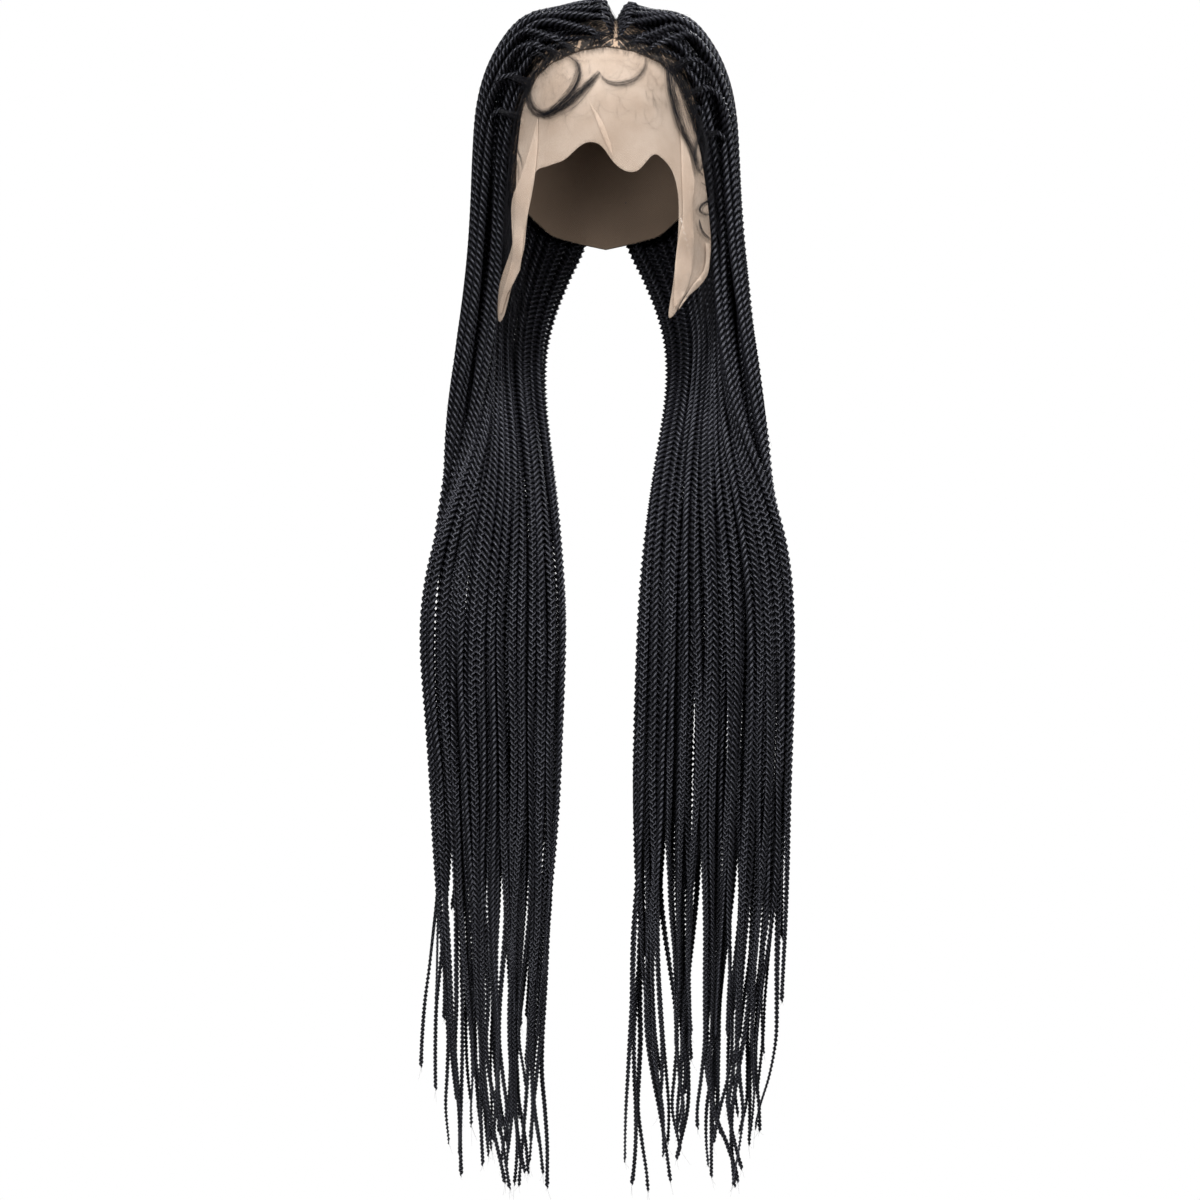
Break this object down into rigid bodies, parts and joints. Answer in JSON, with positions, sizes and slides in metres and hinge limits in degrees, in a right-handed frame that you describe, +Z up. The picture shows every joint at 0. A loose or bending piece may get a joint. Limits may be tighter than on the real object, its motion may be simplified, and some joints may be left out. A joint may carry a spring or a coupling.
{
  "type": "long braided lace-front wig",
  "caption": "Long braided wig on an open lace cap with a sheer lace front, worn with a centre parting and the braids drawn forward over both shoulders.",
  "frame": {"origin": "where the crown of the wearer's head seats inside the cap, on the underside of its top", "axes": "+Z up the head, -Y the way the wearer faces, +X to the wearer's left"},
  "size_m": [0.2744, 0.2525, 0.8928],
  "materials": {
    "cap_net": "tan machine-made net, matt",
    "lace": "sheer nude lace, matt",
    "hair": "off-black synthetic fibre, braided, soft sheen"
  },
  "bodies": {
    "root": {"lace_cap": "cap_net", "lace_front": "lace", "braids_top_right_front": "hair", "braids_top_right_side": "hair", "braids_top_right_rear": "hair", "braids_top_right_nape": "hair", "braids_under_right_front": "hair", "braids_under_right_side": "hair", "braids_under_right_rear": "hair", "braids_under_right_nape": "hair", "braids_top_left_front": "hair", "braids_top_left_side": "hair", "braids_top_left_rear": "hair", "braids_top_left_nape": "hair", "braids_under_left_front": "hair", "braids_under_left_side": "hair", "braids_under_left_rear": "hair", "braids_under_left_nape": "hair"}
  },
  "joints": []
}
